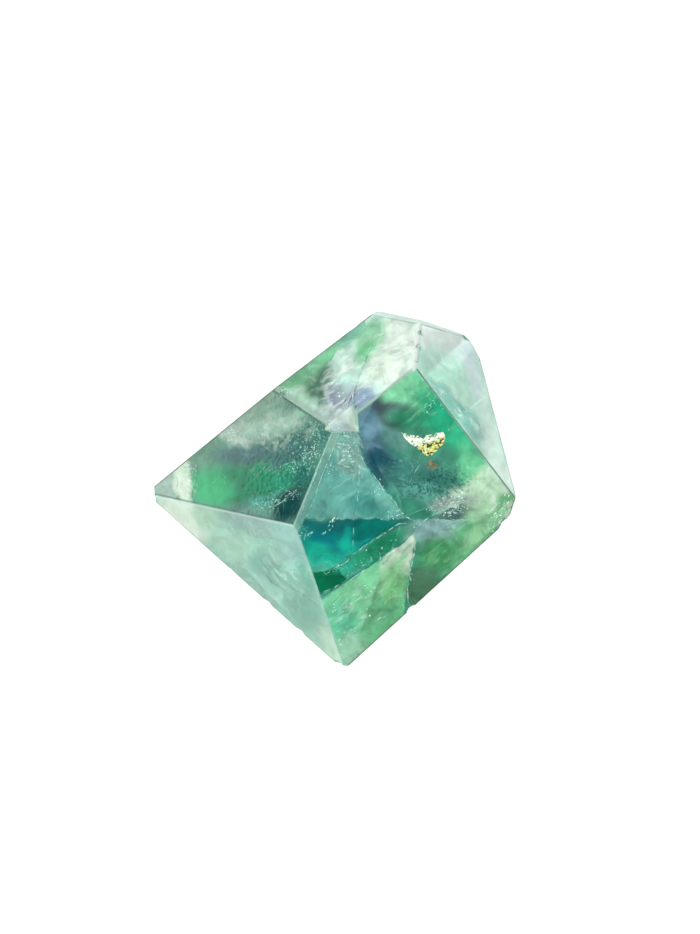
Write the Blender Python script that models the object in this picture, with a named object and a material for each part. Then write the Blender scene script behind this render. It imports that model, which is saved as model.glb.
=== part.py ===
"""Fluorite octahedron: one free-standing crystal, about 62 mm across, as one closed solid.

The crystal is the space left inside a set of flat faces.  Each face is given the way a
stone cutter sets it: the compass direction it faces, how far it leans from level, and how
far it lies from the datum point under the crystal.  Wear is then cut into its edges: worn
flats, a fine rounding, a cleavage notch at the peak, and shell-shaped chips.

Frame: +X east, +Y north, +Z up.  The origin is under the middle of the crystal, level with
the small face that it rests on.  Driving dimensions are millimetres and degrees.
"""

import math

import bmesh
import bpy
from mathutils import Matrix, Vector

MM = 0.001
BLOCK_SIDE = 160.0
DATUM = (0.53, -0.2, 0.0)
EDGE_ROUNDING = 0.16

# Face name: azimuth it faces (from east, turning to north), tilt of its outward normal from
# straight up, distance from the datum.
UPPER_FACES = {
    "table": (313.0, 15.0, 38.8),
    "west_slope": (163.7, 44.8, 31.5),
    "southwest_slope": (209.6, 52.3, 31.2),
    "northwest_slope": (126.6, 45.0, 35.0),
    "east_slope": (26.4, 52.8, 41.9),
}
SIDE_FACES = {
    "northwest_wall": (127.4, 90.5, 19.22),
    "north_wall": (74.6, 90.5, 30.95),
    "northeast_corner": (44.4, 100.0, 28.95),
    "east_corner": (345.3, 112.0, 15.0),
    "southeast_corner": (325.1, 112.0, 12.22),
    "west_tip": (186.1, 93.0, 30.65),
    "south_tip": (268.4, 97.0, 25.36),
}
LOWER_FACES = {
    "rest_face": (0.0, 180.0, 0.0),
    "south_under": (270.5, 128.6, 2.59),
    "west_under": (157.0, 152.6, 2.9),
    "northeast_under": (28.2, 132.8, 5.58),
    "northwest_under": (118.9, 115.0, 9.3),
    "north_under": (77.2, 115.0, 17.3),
    "east_under": (8.5, 107.0, 18.92),
    "southeast_under": (312.3, 113.5, 8.34),
    "southwest_under": (241.4, 114.0, 10.12),
}
WORN_FLATS = {
    "west_ridge_flat": (251.0, 6.1, 40.5),
    "northwest_ridge_flat": (136.0, 43.1, 35.0),
    "north_ridge_flat": (65.7, 37.2, 47.3),
    "north_rim_flat": (87.2, 76.0, 36.0),
    "northeast_rim_flat": (63.0, 76.0, 38.85),
}

# The notch at the peak is bounded by two short walls and a nearly level floor.  The walls
# and the floor are given by the azimuth and tilt of the normal that points into the stone.
NOTCH_CORNER = (4.2, 9.4, 40.9)
NOTCH_SIDES = {"south_wall": (269.0, 110.0), "east_wall": (9.0, 110.0), "floor": (307.0, 172.0)}
NOTCH_REACH = 9.0

# Chip: its middle (east, north, up), azimuth of its length, then length, width and depth.
CHIPS = {
    "northwest_edge": ((3.3, 27.9, 29.3), 38.0, 2.0, 0.9, 1.2),
    "west_corner_of_north_slope": ((-8.9, 16.0, 31.6), 328.0, 2.3, 0.6, 0.5),
    "southeast_edge": ((13.0, -20.2, 33.7), 43.0, 0.9, 0.5, 0.8),
    "north_ridge_low": ((13.7, 21.6, 40.6), 95.0, 0.9, 0.5, 0.4),
    "north_ridge_mid": ((14.3, 23.9, 38.7), 80.0, 1.4, 0.6, 0.4),
    "north_ridge_high": ((14.5, 26.0, 37.0), 100.0, 0.8, 0.5, 0.4),
    "southwest_edge_west": ((-23.6, -9.8, 18.5), 318.0, 1.6, 0.4, 0.7),
    "southwest_edge_middle": ((-17.6, -14.4, 22.0), 318.0, 1.0, 0.35, 0.6),
    "southwest_edge_east": ((-11.4, -19.6, 25.8), 318.0, 1.3, 0.5, 0.7),
    "southwest_edge_south": ((-5.7, -24.2, 29.1), 318.0, 1.8, 0.35, 0.6),
    "south_tip": ((0.7, -29.4, 33.2), 330.0, 1.1, 0.5, 0.8),
    "west_tip": ((-31.6, -1.9, 14.3), 280.0, 0.7, 0.5, 0.6),
    "east_corner": ((28.3, -5.9, 33.8), 60.0, 1.2, 0.4, 0.7),
    "north_corner": ((22.6, 25.5, 27.7), 340.0, 1.2, 0.5, 0.8),
}
CHIP_ROUGHNESS = 0.22

CRYSTAL_GREEN = (0.36, 0.72, 0.55, 1.0)
CRYSTAL_ROUGHNESS = 0.06
FLUORITE_IOR = 1.434


def face_normal(azimuth, tilt):
    """Outward unit normal of a face from its compass direction and its lean."""
    around, lean = math.radians(azimuth), math.radians(tilt)
    return Vector((math.cos(around) * math.sin(lean), math.sin(around) * math.sin(lean), math.cos(lean)))


def cut_face(body, point, normal):
    """Cut a body off flat along one plane and close the cut with one face."""
    everything = body.verts[:] + body.edges[:] + body.faces[:]
    cut = bmesh.ops.bisect_plane(
        body, geom=everything, dist=1e-7, plane_co=point, plane_no=normal, clear_outer=True
    )
    rim = [part for part in cut["geom_cut"] if isinstance(part, bmesh.types.BMEdge)]
    if rim:
        bmesh.ops.edgeloop_fill(body, edges=rim)


def grow_crystal():
    """A block cut down to the crystal by all of its faces."""
    crystal = bmesh.new()
    bmesh.ops.create_cube(crystal, size=BLOCK_SIDE * MM)
    for faces in (UPPER_FACES, SIDE_FACES, LOWER_FACES, WORN_FLATS):
        for azimuth, tilt, distance in faces.values():
            normal = face_normal(azimuth, tilt)
            cut_face(crystal, normal * distance * MM, normal)
    bmesh.ops.recalc_face_normals(crystal, faces=crystal.faces)
    return crystal


def notch_block():
    """The block that leaves the notch: a cube trimmed to the notch's walls and floor."""
    corner = Vector(NOTCH_CORNER) * MM
    block = bmesh.new()
    centre = Matrix.Translation(corner)
    bmesh.ops.create_cube(block, size=NOTCH_REACH * 2 * MM, matrix=centre)
    for azimuth, tilt in NOTCH_SIDES.values():
        cut_face(block, corner, face_normal(azimuth, tilt))
    return block


def chip_block(middle, azimuth, length, width, depth):
    """A squashed, uneven ball that leaves a shell-shaped chip where it meets an edge."""
    ball = bmesh.new()
    bmesh.ops.create_icosphere(ball, subdivisions=2, radius=0.5)
    for corner in ball.verts:
        wobble = math.sin(9.0 * corner.co.x + 40.0 * middle[0]) * math.cos(11.0 * corner.co.y + corner.co.z)
        corner.co *= 1.0 + CHIP_ROUGHNESS * wobble
    size = Matrix.Diagonal((2 * length * MM, 2 * width * MM, 2 * depth * MM, 1.0))
    turn = Matrix.Rotation(math.radians(azimuth), 4, "Z")
    bmesh.ops.transform(ball, matrix=Matrix.Translation(Vector(middle) * MM) @ turn @ size, verts=ball.verts)
    return ball


def mesh_object(name, bodies):
    """One object, placed at the datum, that holds one or more closed bodies."""
    mesh = bpy.data.meshes.new(name)
    joined = bmesh.new()
    for body in bodies:
        piece = bpy.data.meshes.new(name + "_piece")
        body.to_mesh(piece)
        body.free()
        joined.from_mesh(piece)
        bpy.data.meshes.remove(piece)
    bmesh.ops.recalc_face_normals(joined, faces=joined.faces)
    joined.to_mesh(mesh)
    joined.free()
    placed = bpy.data.objects.new(name, mesh)
    placed.location = Vector(DATUM) * MM
    bpy.context.scene.collection.objects.link(placed)
    return placed


def fluorite_material():
    """Clear pale green fluorite."""
    material = bpy.data.materials.new("green_fluorite")
    material.use_nodes = True
    shader = material.node_tree.nodes["Principled BSDF"]
    shader.inputs["Base Color"].default_value = CRYSTAL_GREEN
    shader.inputs["Roughness"].default_value = CRYSTAL_ROUGHNESS
    shader.inputs["Metallic"].default_value = 0.0
    shader.inputs["Transmission Weight"].default_value = 1.0
    shader.inputs["IOR"].default_value = FLUORITE_IOR
    return material


def round_edges(stone):
    """The fine rounding that handling leaves on every edge."""
    rounding = stone.modifiers.new("edge_rounding", "BEVEL")
    rounding.width = EDGE_ROUNDING * MM
    rounding.segments = 2
    rounding.limit_method = "ANGLE"
    rounding.angle_limit = math.radians(8.0)


def cut_wear(stone):
    """Cut the notch and the chips out of the crystal."""
    blocks = [notch_block()] + [chip_block(*chip) for chip in CHIPS.values()]
    cutter = mesh_object("wear_cutter", blocks)
    cutter.hide_render = True
    cutter.display_type = "WIRE"
    wear = stone.modifiers.new("wear", "BOOLEAN")
    wear.operation = "DIFFERENCE"
    wear.solver = "EXACT"
    wear.object = cutter


def clear_scene():
    for item in list(bpy.data.objects):
        bpy.data.objects.remove(item, do_unlink=True)


def build():
    clear_scene()
    stone = mesh_object("fluorite_crystal", [grow_crystal()])
    stone.data.materials.append(fluorite_material())
    round_edges(stone)
    cut_wear(stone)


build()
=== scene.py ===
"""Looks of the fluorite octahedron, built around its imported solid."""

import math
import random

import bmesh
import bpy
from mathutils import Euler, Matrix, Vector, noise
from mathutils.bvhtree import BVHTree


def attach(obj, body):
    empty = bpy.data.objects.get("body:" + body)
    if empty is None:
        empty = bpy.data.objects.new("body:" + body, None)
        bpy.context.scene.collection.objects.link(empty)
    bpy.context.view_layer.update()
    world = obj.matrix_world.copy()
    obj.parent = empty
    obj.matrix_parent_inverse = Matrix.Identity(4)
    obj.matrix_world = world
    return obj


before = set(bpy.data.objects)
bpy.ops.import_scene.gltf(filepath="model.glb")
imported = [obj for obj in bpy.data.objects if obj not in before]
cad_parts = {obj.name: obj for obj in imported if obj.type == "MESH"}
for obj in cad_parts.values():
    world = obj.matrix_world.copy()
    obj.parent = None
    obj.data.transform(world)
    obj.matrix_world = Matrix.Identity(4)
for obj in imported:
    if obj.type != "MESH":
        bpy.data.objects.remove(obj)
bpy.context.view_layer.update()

MM = 0.001
PICTURE_WIDTH, PICTURE_HEIGHT = 700, 934
LENS, SENSOR = 95.0, 36.0
FOCAL_PIXELS = LENS * PICTURE_HEIGHT / SENSOR
CAMERA = Vector((3.335, 3.37, 447.0))

# The stone's body: how much light passes its skin, and how it bends and fades inside.
FLUORITE_IOR = 1.434
TRANSMISSION = 0.66
ABSORPTION_COLOUR = (205, 236, 224)
ABSORPTION_DENSITY = 5.0
# Rough figures for the light on the skin, the light that comes from inside, and the gloss.
SKIN_LIGHT, INNER_LIGHT, GLOSS = 1.5, (0.37, 0.47, 0.40), 0.012

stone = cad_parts["fluorite_crystal"]
stone_tree = BVHTree.FromPolygons(
    [v.co / MM for v in stone.data.vertices], [list(p.vertices) for p in stone.data.polygons]
)


def sight(pixel):
    """Direction from the camera through a pixel of the picture."""
    x, y = pixel
    return Vector(((x - PICTURE_WIDTH / 2) / FOCAL_PIXELS, (PICTURE_HEIGHT / 2 - y) / FOCAL_PIXELS, -1.0))


def surface_point(pixel):
    """Where the line of sight through a pixel meets the stone, and the face's normal there."""
    place, normal, _, _ = stone_tree.ray_cast(CAMERA, sight(pixel))
    return place, normal


def linear(shade):
    """A colour given in the usual 0-255 screen values, as the linear values that shaders use."""
    parts = [value / 255.0 for value in shade]
    return [part / 12.92 if part <= 0.04045 else ((part + 0.055) / 1.055) ** 2.4 for part in parts]


def plain(shade):
    return (*linear(shade), 1.0)


def skin(shade):
    """The base colour with which the see-through stone shows this shade.

    The skin sends back (1 - T) * light * b and passes T * inner light * sqrt(b)."""
    body = (1.0 - TRANSMISSION) * SKIN_LIGHT
    colour = []
    for part, inner in zip(linear(shade), INNER_LIGHT):
        wanted, through = max(part - GLOSS, 0.0), TRANSMISSION * inner
        root = (math.sqrt(through * through + 4.0 * body * wanted) - through) / (2.0 * body)
        colour.append(min(root * root, 1.0))
    return (*colour, 1.0)


def facet_normal(azimuth, tilt):
    around, lean = math.radians(azimuth), math.radians(tilt)
    return Vector((math.cos(around) * math.sin(lean), math.sin(around) * math.sin(lean), math.cos(lean)))


def facet_reach(faces):
    """How far the stone reaches toward the way that a facet faces, in metres."""
    normal = facet_normal(*faces)
    return max(normal.dot(vertex.co) for vertex in stone.data.vertices)


# ---- colour zones ------------------------------------------------------------------------
# Facet: normal (azimuth, tilt), ground colour, and patches. On the table, the triangle and the zones under
# it are partly painted light.
# Patch: place in the picture, half length and half width in mm, turn in degrees, colour,
# hardness, and cuts: pairs of pixels, of which the patch keeps the side to the right.
# Places were set one by one. Shades were set with the help of colour readings at scattered
# places of the picture, and then adjusted against renders.
TABLE, WEST, SOUTHWEST = (313.0, 15.0), (163.7, 44.8), (209.6, 52.3)
NORTHWEST, EAST, NORTH_FLAT = (126.6, 45.0), (26.4, 52.8), (65.7, 37.2)
RIDGE_FLAT, NOTCH = (251.0, 6.1), (127.0, 8.0)
NORTHWEST_WALL, NORTH_WALL, EAST_CORNER = (127.4, 90.5), (74.6, 90.5), (345.3, 112.0)
SOUTHEAST_UNDER, SOUTHWEST_UNDER = (312.3, 113.5), (241.4, 114.0)
SOUTH_UNDER, EAST_UNDER = (270.5, 128.6), (8.5, 107.0)
FACETS = {
    "table": (TABLE, (86, 160, 136), {
        "north_green": ((410, 384), (9.0, 6.4), -30, (148, 228, 180), 1.9),
        "north_mint": ((430, 402), (4.5, 2.6), -30, (110, 198, 152), 1.4),
        "mauve_brown": ((393, 412), (6.5, 3.4), -22, (92, 104, 110), 1.6),
        "green_under": ((425, 422), (8.0, 2.6), -15, (72, 156, 122), 1.5),
        "slate_cloud": ((372, 436), (8.5, 3.8), -78, (110, 144, 160), 1.5),
        "slate_core": ((383, 467), (6.0, 4.2), -62, (48, 94, 112), 1.5),
        "haze_inclusion": ((398, 436), (4.0, 2.0), -10, (122, 170, 160), 1.4),
        "teal_middle": ((420, 478), (9.0, 5.0), -18, (78, 134, 124), 1.5),
        "teal_south": ((424, 495), (7.0, 2.8), -15, (110, 172, 158), 1.5),
        "emerald_ridge": ((458, 428), (13.0, 4.6), -52, (58, 176, 136), 1.6),
        "emerald_core": ((466, 445), (5.0, 3.0), -52, (74, 194, 150), 1.4),
        "light_east": ((478, 468), (6.0, 4.0), -45, (122, 210, 162), 1.5),
        "pale_east": ((480, 493), (9.5, 4.4), 30, (202, 236, 204), 1.7),
        "pale_corner": ((500, 486), (5.0, 3.0), -50, (196, 226, 198), 1.4),
        "lime_corner": ((482, 512), (5.6, 3.6), 20, (182, 228, 190), 1.5),
        "green_corner": ((505, 512), (5.0, 3.6), 45, (136, 196, 146), 1.7),
        "mauve_crest": ((452, 500), (5.2, 1.5), 22, (176, 196, 186), 1.6),
        "ink_wedge": ((453, 513), (4.2, 2.6), 14, (92, 126, 122), 1.7,
                      [((436, 515), (478, 498)), ((500, 519.5), (430, 519.5))]),
        "grey_blue": ((438, 532), (7.6, 4.4), 0, (154, 192, 188), 1.6, [((412, 519), (520, 519))]),
        "green_southeast": ((468, 548), (8.5, 5.0), 40, (118, 188, 138), 1.5),
        "green_deep": ((436, 556), (4.6, 4.6), 60, (86, 160, 108), 1.5),
        "rim_southeast": ((484, 532), (6.5, 1.8), 44, (158, 212, 166), 1.5),
        "dark_southeast": ((421, 588), (5.6, 4.0), 62, (96, 138, 110), 1.6),
        # The pale triangle, with its peak, east part and rim, is partly the stone's own teal and partly
        # painted light: the floor's light seen through the flat base. Its straight lower cut is the base's
        # edge seen through the stone.
        "triangle": ((349, 484), (14.0, 12.0), 0, (124, 186, 176), 3.0,
                     [((304, 519.5), (338, 434)), ((366, 466), (404, 516)), ((440, 519.5), (290, 519.5))]),
        "triangle_peak": ((351, 450), (5.6, 3.4), 90, (142, 188, 176), 1.9,
                          [((304, 519.5), (338, 434)), ((358, 436), (366, 466))]),
        "triangle_east": ((372, 508), (5.6, 2.4), -15, (92, 164, 154), 1.5,
                          [((366, 466), (404, 516)), ((440, 519.5), (290, 519.5))]),
        "triangle_rim": ((385, 496), (5.4, 1.7), -52, (136, 200, 188), 1.4,
                         [((366, 466), (404, 516)), ((440, 519.5), (290, 519.5))]),
        # Under that edge, deep_teal, blue_teal and teal_east are the stone's own teal with a painted darker
        # reflection of the underside, and under_line is a painted shade line along the base's edge.
        "deep_teal": ((338, 541), (10.0, 4.6), -4, (40, 148, 140), 2.0,
                      [((290, 519.5), (440, 519.5)), ((384, 533), (346, 558))]),
        "blue_teal": ((324, 534), (4.6, 2.2), 0, (32, 130, 138), 1.4, [((290, 519.5), (440, 519.5))]),
        "under_line": ((346, 523), (12.5, 1.4), 0, (42, 120, 122), 1.9, [((290, 519.5), (440, 519.5))]),
        "teal_east": ((376, 528), (6.0, 2.6), 15, (34, 136, 126), 1.6,
                      [((290, 519.5), (440, 519.5)), ((420, 521), (384, 533))]),
        "teal_bright": ((322, 556), (4.6, 2.4), -15, (40, 168, 144), 1.5),
        "teal_glow": ((348, 543), (3.6, 1.8), -30, (40, 172, 152), 1.4, [((384, 533), (346, 558))]),
        "strip_green": ((372, 552), (9.6, 2.4), 30, (54, 150, 114), 1.8,
                        [((346, 560), (384, 535)), ((384, 535), (420, 523)), ((420, 530), (368, 567.5)),
                         ((368, 567.5), (330, 594))]),
        "strip_west": ((343, 571), (3.6, 2.2), 36, (62, 166, 138), 1.5, [((368, 567.5), (330, 594))]),
        "wedge": ((372, 596), (15.0, 10.0), 50, (126, 196, 150), 2.6,
                  [((321, 597), (368, 567.5)), ((368, 567.5), (418, 532)), ((416, 532), (409, 578)),
                   ((409, 578), (408, 607))]),
        "wedge_head": ((403, 556), (6.4, 3.8), 62, (218, 244, 214), 1.6,
                       [((368, 567.5), (418, 532)), ((416, 532), (409, 578))]),
        "wedge_rim": ((392, 577), (5.4, 2.4), 60, (152, 210, 160), 1.5, [((416, 532), (409, 578))]),
        "wedge_foot": ((344, 622), (6.0, 3.8), -65, (100, 180, 142), 1.5),
        "spring_green": ((395, 592), (4.0, 2.2), 60, (136, 202, 144), 1.5, [((409, 578), (408, 607))]),
        "south_tip": ((350, 650), (4.6, 3.4), 40, (156, 202, 172), 1.5),
        "dark_square": ((329, 582), (5.4, 3.8), 0, (16, 108, 76), 5.0,
                        [((312, 573), (336, 568.5)), ((336, 568.5), (346.5, 580)), ((346.5, 580),
                         (320, 595))]),
        "rust_halo": ((430, 464), (1.8, 1.0), -20, (126, 128, 96), 1.3),
    }),
    "west_slope": (WEST, (110, 156, 140), {
        "grey_top": ((262, 402), (9.0, 3.4), 36, (146, 178, 158), 1.5),
        "cloud": ((284, 424), (8.0, 3.4), 12, (170, 204, 182), 1.5),
        "cloud_middle": ((252, 434), (7.0, 3.2), -20, (166, 196, 178), 1.5),
        "cloud_west": ((228, 432), (4.5, 2.4), -30, (184, 204, 190), 1.4),
        "sage_west": ((213, 456), (5.0, 3.4), 40, (118, 162, 136), 1.5),
        "slate_band": ((250, 457), (9.5, 3.0), 4, (90, 126, 128), 1.5),
        "slate_east": ((288, 450), (7.0, 4.2), 20, (84, 130, 124), 1.5),
        "ridge_shade": ((316, 432), (5.0, 3.2), -66, (76, 124, 116), 1.6),
        "emerald_band": ((250, 485), (12.5, 4.6), 2, (38, 150, 112), 1.8),
        "emerald_east": ((288, 476), (6.0, 2.8), 10, (54, 156, 122), 1.5),
        "emerald_west": ((211, 486), (4.8, 4.6), 0, (72, 184, 128), 1.5),
        "shade_east": ((306, 478), (3.6, 5.0), -68, (60, 122, 112), 1.5),
        "ridge_foot": ((266, 501), (5.4, 1.7), 10, (88, 170, 150), 1.5),
        "deep_foot": ((291, 508), (5.0, 3.2), 24, (22, 92, 92), 1.7),
        "tip": ((162, 487), (5.4, 4.6), 15, (160, 184, 172), 3.0, [((177, 460), (177, 510))]),
        "frosted_tip": ((185, 480), (2.6, 5.0), 0, (214, 230, 206), 2.2,
                        [((196, 455), (196, 470)), ((196, 470), (192, 500))]),
        "tip_gleam": ((189, 470), (1.2, 2.0), 20, (192, 222, 192), 1.5, [((196, 455), (193, 500))]),
    }),
    "southwest_slope": (SOUTHWEST, (156, 203, 184), {
        "pale_west": ((183, 514), (8.0, 4.4), -38, (214, 230, 213), 1.6),
        "green_west": ((205, 516), (4.0, 3.0), -40, (176, 208, 184), 1.5),
        "mint_middle": ((232, 545), (6.0, 4.0), -35, (176, 216, 194), 1.5),
        "lavender": ((250, 521), (8.0, 2.6), -13, (158, 190, 182), 1.6),
        "sage_middle": ((268, 568), (5.6, 3.2), -35, (124, 176, 160), 1.5),
        "cyan_ridge": ((294, 546), (7.0, 3.4), -60, (164, 212, 202), 1.6),
        "teal_foot": ((306, 574), (5.0, 2.2), -68, (120, 184, 164), 1.4),
        "sage_low": ((300, 604), (8.0, 4.6), -58, (132, 184, 164), 1.5),
        "tip": ((333, 648), (5.6, 3.4), -62, (190, 219, 198), 1.6),
    }),
    "northwest_slope": (NORTHWEST, (192, 224, 208), {
        "green_rim": ((318, 362), (13.0, 4.4), 38, (116, 186, 142), 2.6,
                      [((352, 336), (326, 366)), ((326, 366), (290, 398))]),
        "green_west": ((299, 390), (5.0, 2.2), 30, (112, 170, 132), 1.8),
        "dark_green": ((319, 386), (4.4, 2.6), 56, (62, 122, 94), 1.9),
        "pale_foot": ((301, 403), (6.4, 2.2), -35, (184, 222, 198), 1.6),
        "mauve": ((330, 412), (4.6, 2.6), 0, (180, 198, 194), 1.5),
        "purple": ((342, 394), (3.6, 4.0), 75, (126, 132, 150), 1.6),
        "blue_white": ((352, 356), (8.0, 3.2), 74, (176, 212, 198), 1.6),
        "violet": ((366, 400), (4.0, 3.0), 45, (120, 140, 164), 1.6),
        "green_peak": ((371, 346), (5.2, 2.6), 66, (102, 188, 136), 1.5),
        "green_top": ((364, 330), (5.0, 3.0), 20, (138, 200, 164), 1.5),
        "teal_rim": ((348, 334), (4.4, 2.2), 40, (108, 172, 148), 1.5),
        "mint": ((389, 370), (6.0, 4.6), 30, (214, 240, 220), 1.6),
        "white": ((402, 338), (6.4, 4.8), 90, (210, 228, 216), 1.6),
    }),
    "east_slope": (EAST, (188, 223, 208), {
        "pale_top": ((440, 338), (9.0, 4.6), -15, (224, 240, 230), 1.5),
        "mint_middle": ((446, 378), (8.0, 6.0), -60, (180, 223, 204), 1.5),
        "ridge_mint": ((457, 412), (12.0, 2.4), -52, (126, 188, 174), 1.6),
        "lavender": ((470, 366), (8.0, 2.6), -74, (204, 224, 224), 1.5),
        "pale_low": ((494, 448), (8.0, 3.0), -70, (206, 228, 215), 1.5),
        "foot": ((504, 480), (4.6, 2.4), -60, (216, 238, 224), 1.4),
    }),
    "north_flat": (NORTH_FLAT, (204, 220, 210), {}),
    "ridge_flat": (RIDGE_FLAT, (112, 168, 156), {
        "top": ((330, 442), (5.0, 3.0), 0, (142, 188, 170), 1.4),
        "foot": ((303, 517), (3.0, 3.0), 0, (112, 168, 160), 1.4),
    }),
    "notch": (NOTCH, (214, 232, 222), {
        "grey": ((340, 424), (3.0, 1.6), 0, (188, 204, 208), 1.4),
        "mint": ((353, 420), (2.0, 2.4), 0, (208, 230, 216), 1.4),
    }),
}
WORN_EDGE = (150, 190, 176)
TURN_STEP = 15
PATCHES_TOGETHER = 10
CUT_SOFTNESS = 0.12
GRAIN_HARDNESS = 1.3
LINE_CORE = 0.45
# How near a face's normal lies to a facet's, and how high it points, from none to all.
ON_FACET, ON_TOP = (0.978, 0.992), (0.05, 0.2)
# Noise that pushes places: scale per metre, detail, and push in mm.
CLOUDY, RAGGED = (150.0, 2.0, 4.5), (800.0, 0.0, 1.0)
MOTTLE_SCALE, MOTTLE_DETAIL = 420.0, 2.0
MOTTLED, CALM = 0.30, 0.12
POLISH, GROUND_GLASS = (0.03, 0.10), 0.42
SCRATCH_SCALE, SCRATCH_DEPTH = 1500.0, 0.03
# Walls and underside: the way that the growth bands follow each other, and their shades.
BAND_WAY = (40.0, 35.0)
SIDE_SHADES = ((116, 188, 158), (162, 214, 192), (212, 234, 222), (176, 200, 206))

# Painted shade and painted highlights, as thin lines where a facet meets the next: dark on the table and
# west slope, pale on the pale slopes. The facet, what the next one faces, width in mm, colour and strength.
FACET_EDGE_SHADE_AND_HIGHLIGHTS = (
    ("table", SOUTHWEST, 0.18, (56, 112, 102), 0.8),
    ("table", NORTHWEST, 0.20, (90, 130, 112), 0.7),
    ("west_slope", SOUTHWEST, 0.22, (48, 92, 84), 0.7),
    ("west_slope", NORTHWEST, 0.22, (62, 92, 82), 0.7),
    ("southwest_slope", TABLE, 0.28, (214, 234, 226), 0.5),
    ("southwest_slope", WEST, 0.30, (222, 236, 226), 0.55),
    ("northwest_slope", WEST, 0.40, (214, 234, 218), 0.6),
    ("northwest_slope", TABLE, 0.30, (226, 240, 230), 0.6),
    ("east_slope", TABLE, 0.30, (222, 240, 232), 0.6),
)
# Painted shade along rims and ridges, in dark and mid tones, and one painted highlight on the ridge of the
# northwest and east slopes: what the wall below or the next facet faces, what the other facet faces
# where the line keeps to one ridge, width in mm, colour and strength.
RIM_SHADE_AND_HIGHLIGHTS = (
    (NORTHWEST_WALL, None, 0.30, (84, 70, 62), 0.8),
    (SOUTHEAST_UNDER, None, 0.34, (104, 90, 44), 0.9),
    (SOUTHWEST_UNDER, None, 0.28, (148, 136, 116), 0.75),
    (SOUTH_UNDER, None, 0.28, (148, 136, 116), 0.65),
    (EAST_UNDER, None, 0.28, (142, 152, 146), 0.75),
    (NORTH_WALL, None, 0.28, (150, 150, 142), 0.65),
    (EAST_CORNER, None, 0.32, (136, 128, 92), 0.75),
    (EAST, TABLE, 0.11, (30, 88, 76), 0.7),
    (NORTHWEST, TABLE, 0.30, (140, 172, 156), 0.6),
    (NORTHWEST, WEST, 0.30, (120, 150, 136), 0.5),
    (NORTHWEST, EAST, 0.40, (240, 246, 240), 0.9),
)
# Fibres and specks: turn of the grain, its stretch, its scale per metre, and its zones: facet,
# (pixel, half sizes in mm, turn), the part of the noise that shows, colour and strength.
GRAIN = (
    (-40, 1.5, 2400.0, (
        ("table", (348, 452), (3.4, 6.4), 8, (0.56, 0.66), (214, 236, 226), 0.9),
        ("table", (430, 482), (10.5, 5.6), 0, (0.50, 0.58), (36, 88, 90), 0.8),
        ("table", (408, 462), (6.0, 4.0), 0, (0.57, 0.68), (140, 176, 176), 0.6),
        ("table", (455, 508), (4.0, 1.6), 12, (0.55, 0.63), (214, 230, 224), 0.7),
        ("table", (330, 562), (7.0, 3.0), 0, (0.58, 0.68), (70, 204, 172), 0.6),
        ("west_slope", (308, 442), (4.6, 6.0), 0, (0.57, 0.67), (176, 214, 202), 0.8),
        ("west_slope", (296, 470), (5.0, 4.0), 0, (0.57, 0.67), (130, 204, 184), 0.7),
        ("west_slope", (272, 500), (5.0, 3.0), 10, (0.54, 0.66), (150, 206, 196), 0.7),
        ("west_slope", (187, 478), (3.0, 5.0), 0, (0.48, 0.60), (242, 250, 240), 0.9),
        ("northwest_slope", (386, 372), (6.0, 4.0), 0, (0.58, 0.68), (150, 200, 176), 0.4),
    )),
    (38, 4.0, 1000.0, (
        ("table", (340, 490), (8.0, 6.0), 0, (0.54, 0.68), (150, 206, 196), 0.6),
        ("table", (362, 606), (12.0, 4.4), 37, (0.52, 0.66), (186, 226, 200), 0.6),
        ("table", (345, 560), (9.0, 4.0), 20, (0.56, 0.68), (60, 184, 152), 0.6),
        ("table", (398, 560), (6.0, 4.0), 40, (0.54, 0.66), (120, 196, 160), 0.6),
        ("table", (420, 400), (9.0, 5.0), -30, (0.55, 0.68), (150, 222, 178), 0.6),
        ("table", (460, 545), (10.0, 5.0), 40, (0.54, 0.68), (166, 210, 176), 0.6),
        ("table", (500, 508), (4.0, 5.0), 0, (0.50, 0.62), (222, 240, 222), 0.8),
        ("northwest_slope", (346, 384), (8.0, 6.0), 60, (0.50, 0.64), (226, 236, 236), 0.7),
        ("northwest_slope", (395, 350), (8.0, 6.0), 60, (0.54, 0.66), (246, 252, 246), 0.7),
        ("west_slope", (235, 470), (9.0, 4.0), 0, (0.55, 0.68), (112, 170, 152), 0.6),
    )),
    (-24, 3.0, 700.0, (
        ("table", (375, 445), (8.0, 5.0), -70, (0.54, 0.68), (128, 160, 178), 0.6),
        ("table", (478, 492), (9.0, 4.0), 20, (0.54, 0.68), (206, 232, 208), 0.6),
        ("west_slope", (262, 428), (12.0, 5.4), 0, (0.50, 0.64), (196, 216, 202), 0.8),
        ("west_slope", (262, 404), (9.0, 4.0), 30, (0.54, 0.68), (108, 140, 120), 0.6),
        ("southwest_slope", (260, 560), (18.0, 8.0), -40, (0.50, 0.66), (190, 224, 212), 0.45),
        ("east_slope", (460, 390), (18.0, 8.0), -60, (0.50, 0.66), (222, 238, 232), 0.4),
        ("northwest_slope", (312, 380), (8.0, 4.0), 40, (0.54, 0.68), (172, 206, 184), 0.6),
    )),
)


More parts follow.
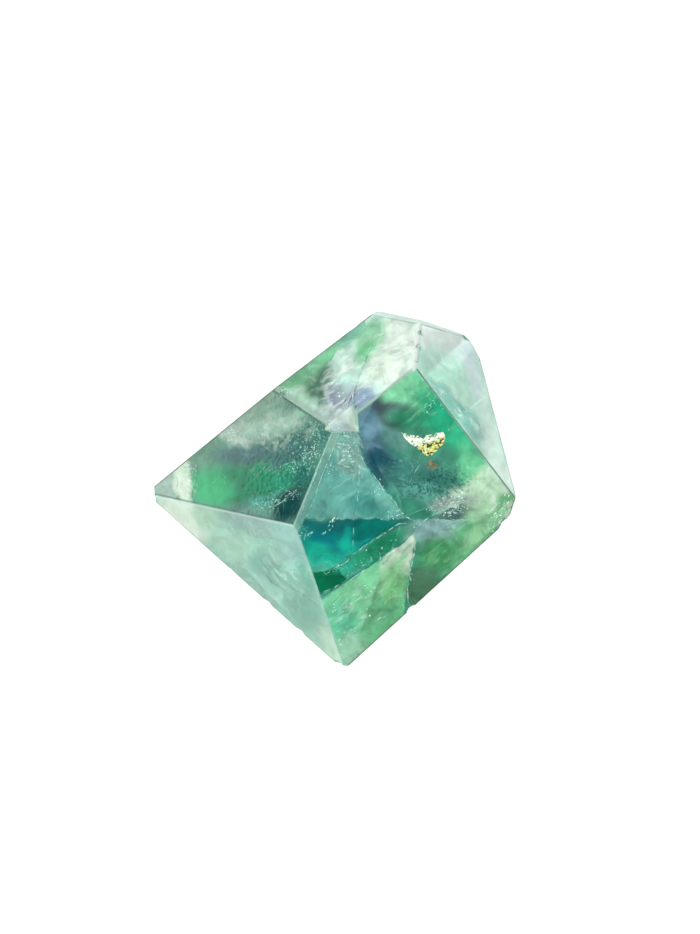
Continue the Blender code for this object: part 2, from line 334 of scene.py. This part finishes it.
class Graph:
    """A node tree, with short ways to add and join nodes."""

    def __init__(self, tree):
        self.nodes, self.links = tree.nodes, tree.links
        self.turned_places, self.cuts = {}, {}

    def add(self, kind, inputs=(), **settings):
        node = self.nodes.new(kind)
        for name, value in settings.items():
            setattr(node, name, value)
        for socket, value in dict(inputs).items():
            self.set(node.inputs[socket], value)
        return node

    def set(self, socket, value):
        if isinstance(value, bpy.types.NodeSocket):
            self.links.new(value, socket)
        else:
            socket.default_value = value

    def math(self, operation, first, second=0.0, clamp=False):
        node = self.add("ShaderNodeMath", {0: first, 1: second}, operation=operation, use_clamp=clamp)
        return node.outputs[0]

    def mix(self, share, under, over, blend="MIX"):
        node = self.add("ShaderNodeMix", data_type="RGBA", blend_type=blend)
        self.set(node.inputs[0], share)
        self.set(node.inputs[6], under)
        self.set(node.inputs[7], over)
        return node.outputs[2]

    def noise(self, place, scale, detail=3.0, roughness=0.5):
        return self.add(
            "ShaderNodeTexNoise", {"Vector": place, "Scale": scale, "Detail": detail, "Roughness": roughness}
        )

    def span(self, value, low, high, to_low=0.0, to_high=1.0, smooth=False):
        """The value, taken from one range to another and held inside it."""
        node = self.add("ShaderNodeMapRange", {"Value": value, 1: low, 2: high, 3: to_low, 4: to_high})
        if smooth:
            node.interpolation_type = "SMOOTHSTEP"
        return node.outputs[0]

    def dot(self, value, direction):
        node = self.add("ShaderNodeVectorMath", {0: value, 1: direction}, operation="DOT_PRODUCT")
        return node.outputs["Value"]

    def turned(self, place, turn):
        """A place as seen in axes turned about Z by so many degrees."""
        key = (place.node.name, place.name, turn)
        if key not in self.turned_places:
            node = self.add("ShaderNodeVectorRotate", {"Vector": place}, rotation_type="Z_AXIS")
            node.inputs["Angle"].default_value = -math.radians(turn)
            self.turned_places[key] = node.outputs[0]
        return self.turned_places[key]

    def pushed(self, place, scale, detail, push):
        """A place pushed about by noise, by up to about half of push in mm."""
        colour = self.noise(place, scale, detail, 0.55).outputs["Color"]
        centred = self.add("ShaderNodeVectorMath", {0: colour, 1: (0.5, 0.5, 0.5)}, operation="SUBTRACT")
        scaling = {0: centred.outputs[0], "Scale": push * MM}
        shift = self.add("ShaderNodeVectorMath", scaling, operation="SCALE")
        return self.add("ShaderNodeVectorMath", {0: place, 1: shift.outputs[0]}, operation="ADD").outputs[0]

    def grouped(self, group, inputs):
        """The colour that a group gives for these inputs."""
        return self.add("ShaderNodeGroup", inputs, node_tree=group.tree).outputs[0]


class Material(Graph):
    """A material's node tree."""

    def __init__(self, name):
        self.material = bpy.data.materials.new(name)
        self.material.use_nodes = True
        super().__init__(self.material.node_tree)
        self.shader = self.nodes["Principled BSDF"]
        self.output = self.nodes["Material Output"]
        self.place = self.add("ShaderNodeTexCoord").outputs["Object"]


class Group(Graph):
    """A group that gives one colour. Small groups build much faster than one large tree."""

    def __init__(self, name, **inputs):
        self.tree = bpy.data.node_groups.new(name, "ShaderNodeTree")
        for label, kind in inputs.items():
            self.tree.interface.new_socket(label, in_out="INPUT", socket_type="NodeSocket" + kind)
        self.tree.interface.new_socket("Colour", in_out="OUTPUT", socket_type="NodeSocketColor")
        super().__init__(self.tree)
        self.given = self.add("NodeGroupInput").outputs

    def close(self, colour):
        self.add("NodeGroupOutput", {0: colour})
        return self


def ellipse_share(graph, place, pixel, size, turn, hardness):
    """1 in the middle of an ellipse on the facet at a pixel, fading to 0 at its edge.

    Turns are rounded, so that patches share a few turned places: this renders much faster."""
    turn = TURN_STEP * round(turn / TURN_STEP)
    centre = surface_point(pixel)[0] * MM
    centre.rotate(Euler((0.0, 0.0, -math.radians(turn))))
    shrink = (1.0 / (size[0] * MM), 1.0 / (size[1] * MM), 0.0)
    shift = (-centre.x * shrink[0], -centre.y * shrink[1], 0.0)
    local = graph.add(
        "ShaderNodeVectorMath", {0: graph.turned(place, turn), 1: shrink, 2: shift}, operation="MULTIPLY_ADD"
    )
    away = graph.add("ShaderNodeVectorMath", {0: local.outputs[0]}, operation="LENGTH").outputs["Value"]
    return graph.span(away, 1.0 - 1.0 / hardness, 1.0, 1.0, 0.0, smooth=True)


def facet_point(faces, pixel):
    """Where the line of sight through a pixel meets the plane of a facet, in mm."""
    normal = facet_normal(*faces)
    ray = sight(pixel)
    return CAMERA + ray * ((facet_reach(faces) / MM - normal.dot(CAMERA)) / normal.dot(ray))


def cut_share(graph, place, faces, start, end):
    """1 to the right of the line through two pixels of a facet, and 0 to the left of it."""
    key = (faces, start, end)
    if key in graph.cuts:
        return graph.cuts[key]
    first, second = facet_point(faces, start), facet_point(faces, end)
    along = Vector((second.x - first.x, second.y - first.y, 0.0)).normalized()
    right = Vector((along.y, -along.x, 0.0))
    edge = right.dot(first) * MM
    graph.cuts[key] = graph.span(graph.dot(place, right), edge - CUT_SOFTNESS * MM, edge + CUT_SOFTNESS * MM)
    return graph.cuts[key]


def facet_colour(graph, cloudy, ragged, name):
    """The colour zones of one facet."""
    faces, ground, patches = FACETS[name]
    colour, patches = skin(ground), list(patches.values())
    for first in range(0, len(patches), PATCHES_TOGETHER):
        group = Group(f"{name} zones", Cloudy="Vector", Ragged="Vector", Under="Color")
        shown = group.given["Under"]
        for pixel, size, turn, shade, hardness, *cuts in patches[first:first + PATCHES_TOGETHER]:
            share = ellipse_share(group, group.given["Cloudy"], pixel, size, turn, hardness)
            for start, end in (cuts[0] if cuts else ()):
                cut = cut_share(group, group.given["Ragged"], faces, start, end)
                share = group.math("MULTIPLY", share, cut)
            shown = group.mix(share, shown, skin(shade))
        colour = graph.grouped(group.close(shown), {"Cloudy": cloudy, "Ragged": ragged, "Under": colour})
    return colour


def grain_colour(graph, cloudy, on, colour):
    """Fibres and specks over the zones of the facets."""
    for turn, stretch, scale, zones in GRAIN:
        squeeze = {0: graph.turned(cloudy, turn), 1: (1.0 / stretch, 1.0, 1.0)}
        local = graph.add("ShaderNodeVectorMath", squeeze, operation="MULTIPLY")
        fibres = graph.noise(local.outputs[0], scale, 1.0, 0.6).outputs["Fac"]
        facets = sorted({zone[0] for zone in zones})
        sockets = {"Cloudy": "Vector", "Fibres": "Float", "Under": "Color", **dict.fromkeys(facets, "Float")}
        group = Group("grain", **sockets)
        shown = group.given["Under"]
        for name, pixel, size, zone_turn, seen, shade, strength in zones:
            share = group.span(group.given["Fibres"], *seen, 0.0, strength)
            zone = ellipse_share(group, group.given["Cloudy"], pixel, size, zone_turn, GRAIN_HARDNESS)
            share = group.math("MULTIPLY", group.math("MULTIPLY", share, zone), group.given[name])
            shown = group.mix(share, shown, skin(shade))
        given = {"Cloudy": cloudy, "Fibres": fibres, "Under": colour, **{name: on[name] for name in facets}}
        colour = graph.grouped(group.close(shown), given)
    return colour


def painted_line_share(graph, faces, width, strength, on):
    """The share of a thin painted line along the edge with the plane that faces this way, where `on` is 1.
    """
    reach = facet_reach(faces)
    toward = graph.dot(graph.given["Place"], facet_normal(*faces))
    near = graph.span(toward, reach - width * MM, reach - LINE_CORE * width * MM)
    return graph.math("MULTIPLY", graph.math("MULTIPLY", near, strength), on)


def painted_edge_shade_and_highlights(graph, on, upward, colour):
    """Painted shade and painted highlights, as thin lines where facets meet and along rims."""
    facets = sorted({line[0] for line in FACET_EDGE_SHADE_AND_HIGHLIGHTS})
    sockets = {"Place": "Vector", "Upward": "Float", "Under": "Color", **dict.fromkeys(facets, "Float")}
    group = Group("lines", **sockets)
    shown = group.given["Under"]
    for name, faces, width, shade, strength in FACET_EDGE_SHADE_AND_HIGHLIGHTS:
        shown = group.mix(painted_line_share(group, faces, width, strength, group.given[name]), shown, skin(shade))
    for faces, other, width, shade, strength in RIM_SHADE_AND_HIGHLIGHTS:
        where = group.given["Upward"]
        if other:
            where = painted_line_share(group, other, 2.0 * width, 1.0, where)
        shown = group.mix(painted_line_share(group, faces, width, strength, where), shown, skin(shade))
    given = {"Place": graph.place, "Upward": upward, "Under": colour, **{name: on[name] for name in facets}}
    return graph.grouped(group.close(shown), given)


def side_colour(graph, clouds):
    """Walls and underside, which the picture doesn't show: growth bands and soft clouds."""
    across = graph.dot(clouds, facet_normal(*BAND_WAY))
    bands = {"W": across, "Scale": 130.0, "Detail": 2.0}
    layer = graph.add("ShaderNodeTexNoise", bands, noise_dimensions="1D")
    cloud = graph.noise(clouds, 60.0, 2.0, 0.55).outputs["Fac"]
    tone = graph.math("MULTIPLY", graph.math("ADD", layer.outputs[0], cloud), 0.5)
    deep, middle, pale, haze = map(skin, SIDE_SHADES)
    colour = graph.mix(graph.span(tone, 0.40, 0.50, smooth=True), deep, middle)
    colour = graph.mix(graph.span(tone, 0.50, 0.60, smooth=True), colour, pale)
    return graph.mix(graph.span(cloud, 0.56, 0.68, 0.0, 0.7), colour, haze)


def fluorite_material():
    graph = Material("green_fluorite")
    cloudy = graph.pushed(graph.place, *CLOUDY)
    ragged = graph.pushed(graph.place, *RAGGED)
    normal = graph.add("ShaderNodeNewGeometry").outputs["True Normal"]
    height = graph.add("ShaderNodeSeparateXYZ", {0: normal}).outputs[2]
    upward = graph.span(height, *ON_TOP)
    colour = graph.mix(upward, side_colour(graph, cloudy), skin(WORN_EDGE))
    on = {}
    for name, (faces, _, _) in FACETS.items():
        on[name] = graph.span(graph.dot(normal, facet_normal(*faces)), *ON_FACET)
        colour = graph.mix(on[name], colour, facet_colour(graph, cloudy, ragged, name))
    colour = grain_colour(graph, cloudy, on, colour)
    mottle = graph.noise(cloudy, MOTTLE_SCALE, MOTTLE_DETAIL, 0.65).outputs["Fac"]
    quiet = graph.math("ADD", on["east_slope"], on["southwest_slope"])
    quiet = graph.math("ADD", quiet, graph.math("MULTIPLY", on["west_slope"], 0.5))
    calm = graph.span(quiet, 0.0, 1.0, MOTTLED, CALM)
    level = graph.math("ADD", graph.math("MULTIPLY", graph.span(mottle, 0.3, 0.7, -1.0, 1.0), calm), 1.0)
    grey = graph.add("ShaderNodeCombineXYZ", {0: level, 1: level, 2: level}).outputs[0]
    colour = graph.mix(1.0, colour, grey, "MULTIPLY")
    # Painted edge shade and highlights, laid over the zones.
    colour = painted_edge_shade_and_highlights(graph, on, upward, colour)
    polish = graph.span(mottle, 0.35, 0.75, *POLISH)
    under = graph.span(height, 0.1, -0.1)
    rough = graph.add("ShaderNodeMix", {0: under, 2: polish, 3: GROUND_GLASS})
    scratches = graph.noise(graph.place, SCRATCH_SCALE, 0.0).outputs["Fac"]
    relief = {"Strength": 0.25, "Distance": SCRATCH_DEPTH * MM, "Height": scratches}
    bump = graph.add("ShaderNodeBump", relief)
    graph.set(graph.shader.inputs["Base Color"], colour)
    graph.set(graph.shader.inputs["Roughness"], rough.outputs[0])
    graph.set(graph.shader.inputs["Normal"], bump.outputs[0])
    graph.set(graph.shader.inputs["Transmission Weight"], TRANSMISSION)
    graph.set(graph.shader.inputs["IOR"], FLUORITE_IOR)
    absorb = graph.add(
        "ShaderNodeVolumeAbsorption", {"Color": plain(ABSORPTION_COLOUR), "Density": ABSORPTION_DENSITY}
    )
    graph.links.new(absorb.outputs[0], graph.output.inputs["Volume"])
    return graph.material


# ---- cracks, glints and the metallic inclusion -------------------------------------------
# Cracks: corners in the picture, width and depth in mm.
CRACKS = {
    "triangle_altitude": (((359.3, 452), (359.4, 468), (358.6, 490), (355.6, 512), (354, 522),
                           (353, 543), (350.6, 555)), 0.12, 2.0),
    "altitude_foot": (((350.6, 555), (347.3, 561), (341, 565), (334.6, 568), (325, 575)), 0.14, 1.5),
    "strip_top": (((350.6, 555.6), (360, 549), (372, 541), (381.4, 535.5), (390.8, 529), (398.8, 524),
                   (409.5, 522.8), (419, 521)), 0.16, 2.0),
    "triangle_east": (((357.5, 434), (358.7, 451), (365.4, 464.6), (374.7, 476.6), (384, 490),
                       (394.8, 502), (403, 515)), 0.12, 1.2),
    "triangle_west": (((338.6, 434), (330, 456), (321.8, 476.6), (314, 498), (308, 514),
                       (303.5, 519)), 0.12, 0.8),
    "west_ridge": (((331, 434), (318, 468), (307, 497), (300.5, 516)), 0.10, 0.6),
    "triangle_corner": (((403, 515), (410, 519), (420, 519.5)), 0.12, 0.8),
    "strip_bottom": (((321.2, 598), (338.6, 587.8), (352, 578.4), (368, 567.7), (384, 557),
                      (398.8, 547.6), (414, 534)), 0.16, 2.5),
    "dark_square_rim": (((322, 592), (334, 588), (345, 580)), 0.12, 0.8),
    "crest": (((414, 534), (420, 524), (428, 518), (438, 512), (450, 503), (462, 498),
               (472, 499)), 0.20, 1.6),
    "wedge_east": (((416.9, 535), (413.6, 557), (409.5, 574), (410.9, 580), (407.5, 588), (408.2, 602),
                    (410.5, 607)), 0.17, 3.0),
    "table_scratch": (((420, 464), (412, 476), (408, 488)), 0.10, 1.4),
    "base_line_east": (((430, 520), (455, 520), (478, 520)), 0.06, 0.5),
    "east_nick": (((493, 466), (488, 473)), 0.11, 0.6),
    "ridge_nick": (((411, 361), (416, 367)), 0.16, 0.5),
    "west_foot_arc": (((254, 502), (262, 508), (272, 507), (282, 502), (290, 495), (299, 489)), 0.16, 0.8),
    "north_fold": (((355, 411), (353, 396), (354, 390), (358, 378), (365, 358), (373, 342)), 0.16, 1.2),
    "north_fold_west": (((338, 410), (343, 402), (350, 392)), 0.11, 0.8),
    "north_fold_middle": (((345, 412), (349, 402), (352, 394)), 0.11, 0.8),
    "north_top_line": (((389, 331), (398, 343), (412, 359)), 0.09, 0.6),
    "east_slope_line": (((437, 358), (444, 366), (452, 372), (459, 378)), 0.12, 0.5),
    "east_slope_nick": (((455, 378), (461, 386)), 0.08, 0.4),
    "southwest_low_line": (((285, 580), (293, 590), (306, 598), (318, 604)), 0.11, 1.2),
    "southwest_middle_line": (((262, 574), (272, 583), (280, 588), (286, 586)), 0.09, 0.8),
    "foot_line_south": (((345, 636), (352, 628), (362, 620)), 0.12, 0.6),
    "foot_line_east": (((374, 622), (380, 618), (386, 617)), 0.11, 0.6),
    "wedge_line_upper": (((330, 606), (338, 598), (346, 592)), 0.12, 0.7),
    "wedge_line_lower": (((335, 616), (346, 604), (358, 594)), 0.10, 0.7),
    "tip_rim": (((195, 459), (196.5, 468), (196, 476), (193, 488), (191, 498)), 0.12, 0.8),
    "tip_line": (((176, 473), (177, 484), (176, 494)), 0.09, 0.6),
    "cloud_line": (((228, 428), (236, 432), (242, 440)), 0.09, 0.6),
}
# Glints: middle in the picture, half length and half width in pixels, turn, how many, length
# in mm, and the way they lie.
GLINTS = {
    "ridge_middle": ((311, 453), (10, 5), 35, 70, 0.55, 30),
    "west_band": ((296, 466), (16, 5), 10, 50, 0.40, 20),
    "west_band_far": ((272, 470), (18, 3), 8, 22, 0.35, 20),
    "west_foot": ((292, 494), (8, 3.4), 30, 36, 0.60, 35),
    "west_arc": ((271, 503), (12, 3.4), 10, 36, 0.50, 15),
    "ridge_top": ((318, 436), (10, 8), 0, 46, 0.35, 0),
    "triangle_peak": ((347, 450), (9, 17), 20, 110, 0.34, -40),
    "triangle_west": ((331, 472), (7, 7), 0, 34, 0.34, -30),
    "base_west": ((306, 533), (6, 5), 0, 30, 0.45, -10),
    "base_spray": ((332, 524), (4, 9), -20, 18, 0.70, 60),
    "triangle_east": ((380, 489), (6, 7), -40, 22, 0.45, -40),
    "triangle_corner": ((392, 516), (9, 4), 20, 26, 0.50, 20),
    "strip": ((372, 556), (28, 5), 34, 34, 0.45, 34),
    "square_top": ((338, 568), (12, 2.6), 20, 14, 0.40, 30),
    "wedge_west": ((338, 606), (15, 7), 40, 20, 0.65, 38),
    "wedge_middle": ((370, 586), (24, 5), 36, 14, 0.55, 36),
    "wedge_foot": ((350, 630), (20, 8), 40, 18, 0.60, 34),
    "wedge_east": ((411, 568), (2, 18), 5, 18, 0.35, 80),
    "ink_wedge": ((456, 510), (9, 4), 15, 30, 0.50, -60),
    "crest": ((447, 503), (20, 4), 22, 40, 0.50, 20),
    "east_corner": ((500, 511), (8, 13), -20, 90, 0.50, 60),
    "east_rim": ((492, 523), (8, 4), 30, 20, 0.40, 40),
    "north_spray": ((432, 404), (10, 5), 20, 24, 0.45, 20),
    "north_spray_foot": ((427, 412), (3, 1.5), 20, 5, 0.60, 15),
    "north_table": ((440, 395), (40, 30), 0, 20, 0.25, 0),
    "cloud": ((255, 430), (30, 12), 10, 40, 0.40, 20),
    "cloud_west": ((234, 434), (8, 6), -30, 24, 0.50, -40),
    "emerald_west": ((218, 478), (8, 4), 0, 10, 0.35, 40),
    "frosted_tip": ((186, 478), (7, 17), 0, 40, 0.40, 70),
    "northwest_foot": ((286, 392), (9, 3), -15, 26, 0.55, -12),
    "north_ridge": ((412, 345), (5, 22), -10, 36, 0.40, 80),
    "mauve_fold": ((340, 400), (12, 16), 20, 24, 0.50, 60),
    "north_slope": ((375, 385), (20, 20), 0, 20, 0.30, 0),
    "southwest_spray": ((293, 566), (9, 7), 0, 22, 0.40, 20),
    "notch": ((330, 425), (6, 3), -30, 18, 0.45, -30),
}
# Glints and cracks, in mm, but for CRACK_STEP and CRACK_STRAY, in pixels.
GLINT_PROUD, GLINT_DEPTH, GLINT_WIDTH_LEAST = 0.015, 0.06, 0.06
GLINT_SIZE = 0.72
CRACK_STEP, CRACK_STRAY = 1.6, 0.35
PLUG_STEPS = 3
# The inclusion: outlines in the picture of its white crust, gold and rust.
CRUST = ((401, 432), (405, 433), (409, 437), (412, 435), (415, 438), (418, 435.5), (422, 438), (426, 436.5),
         (430, 434.5), (434, 436), (437, 432), (440, 433), (443, 431), (445, 435), (441, 440), (436, 441),
         (430, 443), (424, 445), (420, 448), (415, 446), (410, 443), (406, 440))
GOLD = ((445, 436), (445, 441), (441, 446), (438, 449), (434, 453), (431, 456), (427, 456), (423, 453),
        (419, 450), (417, 447), (421, 445), (426, 444), (431, 442), (436, 440), (441, 438))
RUST = ((428, 462), (430, 460), (432, 461), (433, 463), (431, 465), (429, 464))
# Their grains: pairs of a share of the grains, counted from the first pair, and their colour.
CRUST_GRAINS = ((0.16, (96, 136, 102)), (0.40, (178, 194, 160)), (1.0, (214, 220, 208)))
GOLD_GRAINS = ((0.26, (24, 30, 20)), (0.58, (180, 184, 76)), (0.82, (204, 206, 156)), (1.0, (136, 152, 62)))
RUST_GRAINS = ((0.4, (118, 88, 64)), (0.7, (92, 118, 94)), (1.0, (66, 112, 98)))


def new_piece(name, mesh, *materials):
    data = bpy.data.meshes.new(name)
    bmesh.ops.recalc_face_normals(mesh, faces=mesh.faces)
    mesh.to_mesh(data)
    mesh.free()
    for material in materials:
        data.materials.append(material)
    piece = bpy.data.objects.new(name, data)
    bpy.context.scene.collection.objects.link(piece)
    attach(piece, "root")
    return piece


def add_tube(mesh, rings):
    """A closed tube through rings that all have the same number of corners, in mm."""
    loops = [[mesh.verts.new(corner * MM) for corner in ring] for ring in rings]
    for here, there in zip(loops, loops[1:]):
        for first in range(len(here)):
            second = (first + 1) % len(here)
            mesh.faces.new((here[first], here[second], there[second], there[first]))
    mesh.faces.new(loops[0])
    mesh.faces.new(reversed(loops[-1]))


def add_crack(mesh, corners, width, depth, dice):
    """A thin sheet that goes down from the skin along a line through pixels."""
    rings = []
    shift = dice.uniform(0.0, 100.0)
    places = []
    for start, end in zip(corners, corners[1:]):
        steps = max(2, round(math.dist(start, end) / CRACK_STEP))
        places += [(start[0] + (end[0] - start[0]) * k / steps, start[1] + (end[1] - start[1]) * k / steps)
                   for k in range(steps)]
    places.append(corners[-1])
    for index, (x, y) in enumerate(places):
        before, after = places[max(index - 1, 0)], places[min(index + 1, len(places) - 1)]
        stray_x, stray_y = dice.uniform(-CRACK_STRAY, CRACK_STRAY), dice.uniform(-CRACK_STRAY, CRACK_STRAY)
        point, normal = surface_point((x + stray_x, y + stray_y))
        if point is None:
            continue
        along = Vector((after[0] - before[0], before[1] - after[1], 0.0)).normalized()
        side = normal.cross(along).normalized()
        ease = min(1.0, 0.3 + 4.0 * min(index, len(places) - 1 - index) / len(places))
        wander = noise.noise(Vector((shift, index * 0.35, 0.0)))
        half = side * (0.5 * width * ease * (0.75 + 0.6 * noise.noise(Vector((shift, index * 0.9, 5.0)))))
        top = point + normal * (0.002 + 0.03 * wander)
        bottom = point - normal * (depth * ease * dice.uniform(0.6, 1.0))
        rings.append([top + half, top - half, bottom - half * 0.3, bottom + half * 0.3])
    add_tube(mesh, rings)


def add_flake(mesh, pixel, length, width, turn, lean, dice):
    """A thin angular plate at the skin, seen in the picture as a short bright stroke."""
    point, normal = surface_point(pixel)
    if point is None:
        return
    around = math.radians(turn)
    along = (Vector((math.cos(around), math.sin(around), 0.0)) + normal * lean).normalized()
    across = normal.cross(along).normalized()
    up = along.cross(across).normalized()
    sides = dice.choice((4, 5, 6))
    ring = []
    for side in range(sides):
        angle = (side + dice.uniform(-0.25, 0.25)) * math.tau / sides
        ring.append(along * (math.cos(angle) * length / 2) + across * (math.sin(angle) * width / 2))
    centre = point + normal * GLINT_PROUD
    top = [centre + corner for corner in ring]
    bottom = [centre - up * GLINT_DEPTH + corner * 0.7 for corner in ring]
    add_tube(mesh, [top, bottom])


def make_cracks(material):
    dice = random.Random(7)
    mesh = bmesh.new()
    for corners, width, depth in CRACKS.values():
        add_crack(mesh, corners, width, depth, dice)
    new_piece("cracks", mesh, material)


def make_glints(material):
    dice = random.Random(11)
    mesh = bmesh.new()
    for (x, y), (half_length, half_width), turn, count, length, lie in GLINTS.values():
        around = math.radians(turn)
        for _ in range(count):
            far, near = dice.gauss(0.0, 0.6) * half_length, dice.gauss(0.0, 0.7) * half_width
            pixel = (x + far * math.cos(around) + near * math.sin(around),
                     y - far * math.sin(around) + near * math.cos(around))
            size = GLINT_SIZE * length * dice.uniform(0.3, 1.1)
            width = max(GLINT_WIDTH_LEAST, size * dice.uniform(0.2, 0.5))
            way, lean = lie + dice.gauss(0.0, 30.0), dice.uniform(-0.08, 0.08)
            add_flake(mesh, pixel, size, width, way, lean, dice)
    new_piece("glints", mesh, material)


def add_plug(mesh, outline, proud, depth, jag, dice):
    """An angular body set in the stone, whose top lies in or just under the polished face."""
    corners = []
    for start, end in zip(outline, outline[1:] + outline[:1]):
        for step in range(PLUG_STEPS):
            jitter, share = jag if step else 0.3 * jag, step / PLUG_STEPS
            x, y = (first + (last - first) * share for first, last in zip(start, end))
            stray_x, stray_y = dice.uniform(-jitter, jitter), dice.uniform(-jitter, jitter)
            corners.append((x + stray_x, y + stray_y))
    tops = [point + normal * proud for point, normal in map(surface_point, corners)]
    down = surface_point(outline[0])[1]
    middle = sum(tops, Vector()) / len(tops)
    rings = [tops]
    for share, shrink in ((0.4, 0.9), (1.0, 0.5)):
        sunk = middle - down * depth * share
        rings.append([sunk + (top - middle) * shrink * dice.uniform(0.94, 1.06) for top in tops])
    add_tube(mesh, rings)


def make_inclusion(crust, gold, rust):
    dice = random.Random(5)
    for name, outline, proud, depth, jag, material in (
        ("inclusion_crust", CRUST, 0.02, 1.2, 1.3, crust),
        ("inclusion_gold", GOLD, 0.035, 1.6, 1.0, gold),
        ("inclusion_rust", RUST, 0.008, 0.5, 1.0, rust),
    ):
        mesh = bmesh.new()
        add_plug(mesh, outline, proud, depth, jag, dice)
        new_piece(name, mesh, material)


def frost_material(name, dull, bright):
    graph = Material(name)
    tone = graph.span(graph.noise(graph.place, 1400.0, 1.0).outputs["Fac"], 0.38, 0.66)
    graph.set(graph.shader.inputs["Base Color"], graph.mix(tone, plain(dull), plain(bright)))
    graph.set(graph.shader.inputs["Roughness"], 0.35)
    return graph.material


def grain_material(name, scale, colours, roughness, metallic=0.0):
    """Crystal grains, each of one colour: pairs of a share and the colour up to it."""
    graph = Material(name)
    place = graph.pushed(graph.place, 1500.0, 2.0, 0.4)
    cells = graph.add("ShaderNodeTexVoronoi", {"Vector": place, "Scale": scale})
    pick = graph.add("ShaderNodeSeparateColor", {0: cells.outputs["Color"]}).outputs[0]
    colour = plain(colours[0][1])
    for (share, _), (_, shade) in zip(colours, colours[1:]):
        colour = graph.mix(graph.math("GREATER_THAN", pick, share), colour, plain(shade))
    graph.set(graph.shader.inputs["Base Color"], colour)
    graph.set(graph.shader.inputs["Roughness"], roughness)
    graph.set(graph.shader.inputs["Metallic"], metallic)
    relief = {"Strength": 0.6, "Distance": 0.1 * MM, "Height": cells.outputs["Distance"]}
    bump = graph.add("ShaderNodeBump", relief)
    graph.set(graph.shader.inputs["Normal"], bump.outputs[0])
    return graph.material


def dress_stone():
    stone.data.materials.clear()
    stone.data.materials.append(fluorite_material())
    make_cracks(frost_material("healed_fracture", (74, 142, 126), (178, 208, 196)))
    make_glints(frost_material("bright_flaws", (104, 168, 152), (214, 234, 226)))
    make_inclusion(
        grain_material("white_crust", 3400.0, CRUST_GRAINS, 0.5),
        grain_material("gold_grains", 3600.0, GOLD_GRAINS, 0.35),
        grain_material("rust_grains", 3400.0, RUST_GRAINS, 0.7),
    )


# ---- stage -------------------------------------------------------------------------------
TENT_LIGHT, FLAG_LIGHT = 1.66, 0.06
BOUNCES, DIFFUSE_BOUNCES = 6, 2
PAPER = (0.945, 0.945, 0.93, 1.0)
FLOOR_HALF, FLOOR_DROP = 1.5, 0.05
# The key: how wide it is in metres, its power in watts, and where it stands.
KEY_SIZE, KEY_POWER, KEY_PLACE = 0.6, 2.0, (-0.5, 0.5, 0.8)
# Dark flags, where the table and the west slope would mirror the tent to the camera: the way
# to each, and the cosines at its soft edge.
FLAGS = (((313.0, 30.0), 0.92, 0.97), ((163.7, 88.0), 0.93, 0.98))


def make_camera():
    data = bpy.data.cameras.new("camera")
    data.lens = LENS
    data.sensor_width = SENSOR
    camera = bpy.data.objects.new("camera", data)
    camera.location = CAMERA * MM
    bpy.context.scene.collection.objects.link(camera)
    bpy.context.scene.camera = camera


def make_floor():
    mesh = bpy.data.meshes.new("floor")
    sheet = bmesh.new()
    bmesh.ops.create_grid(sheet, x_segments=1, y_segments=1, size=FLOOR_HALF)
    sheet.to_mesh(mesh)
    sheet.free()
    floor = bpy.data.objects.new("floor", mesh)
    floor.location.z = -FLOOR_DROP * MM
    bpy.context.scene.collection.objects.link(floor)
    graph = Material("white_paper")
    graph.shader.inputs["Base Color"].default_value = PAPER
    graph.shader.inputs["Roughness"].default_value = 0.9
    graph.shader.inputs["Specular IOR Level"].default_value = 0.1
    mesh.materials.append(graph.material)


def make_light():
    """A white tent all round with two dark flags, and a broad key from the left."""
    world = bpy.data.worlds.new("studio")
    bpy.context.scene.world = world
    # Most of its light comes through the stone, where a light sample would be wasted.
    world.cycles.sampling_method = "NONE"
    world.use_nodes = True
    nodes, links = world.node_tree.nodes, world.node_tree.links
    background = nodes["Background"]
    background.inputs["Color"].default_value = (1.0, 1.0, 0.99, 1.0)
    around = nodes.new("ShaderNodeTexCoord")
    level = None
    for way, edge, core in FLAGS:
        toward = nodes.new("ShaderNodeVectorMath")
        toward.operation = "DOT_PRODUCT"
        toward.inputs[1].default_value = facet_normal(*way)
        links.new(around.outputs["Generated"], toward.inputs[0])
        shade = nodes.new("ShaderNodeMapRange")
        for index, value in enumerate((edge, core, 1.0, FLAG_LIGHT), 1):
            shade.inputs[index].default_value = value
        links.new(toward.outputs["Value"], shade.inputs[0])
        product = nodes.new("ShaderNodeMath")
        product.operation = "MULTIPLY"
        product.inputs[1].default_value = TENT_LIGHT
        links.new(shade.outputs[0], product.inputs[0])
        if level:
            links.new(level, product.inputs[1])
        level = product.outputs[0]
    # The flags don't show as a backdrop.
    backdrop = nodes.new("ShaderNodeMath")
    backdrop.operation = "MULTIPLY_ADD"
    backdrop.inputs[1].default_value = TENT_LIGHT
    links.new(nodes.new("ShaderNodeLightPath").outputs["Is Camera Ray"], backdrop.inputs[0])
    links.new(level, backdrop.inputs[2])
    links.new(backdrop.outputs[0], background.inputs["Strength"])
    lamp = bpy.data.lights.new("key", "AREA")
    lamp.shape = "DISK"
    lamp.size = KEY_SIZE
    lamp.energy = KEY_POWER
    key = bpy.data.objects.new("key", lamp)
    key.location = KEY_PLACE
    key.rotation_euler = (-key.location).to_track_quat("-Z", "Y").to_euler()
    bpy.context.scene.collection.objects.link(key)


def set_view():
    scene = bpy.context.scene
    scene.view_settings.view_transform = "Standard"
    scene.cycles.max_bounces = BOUNCES
    scene.cycles.diffuse_bounces = DIFFUSE_BOUNCES
    scene.cycles.transmission_bounces = BOUNCES


make_camera()
make_floor()
make_light()
set_view()
dress_stone()
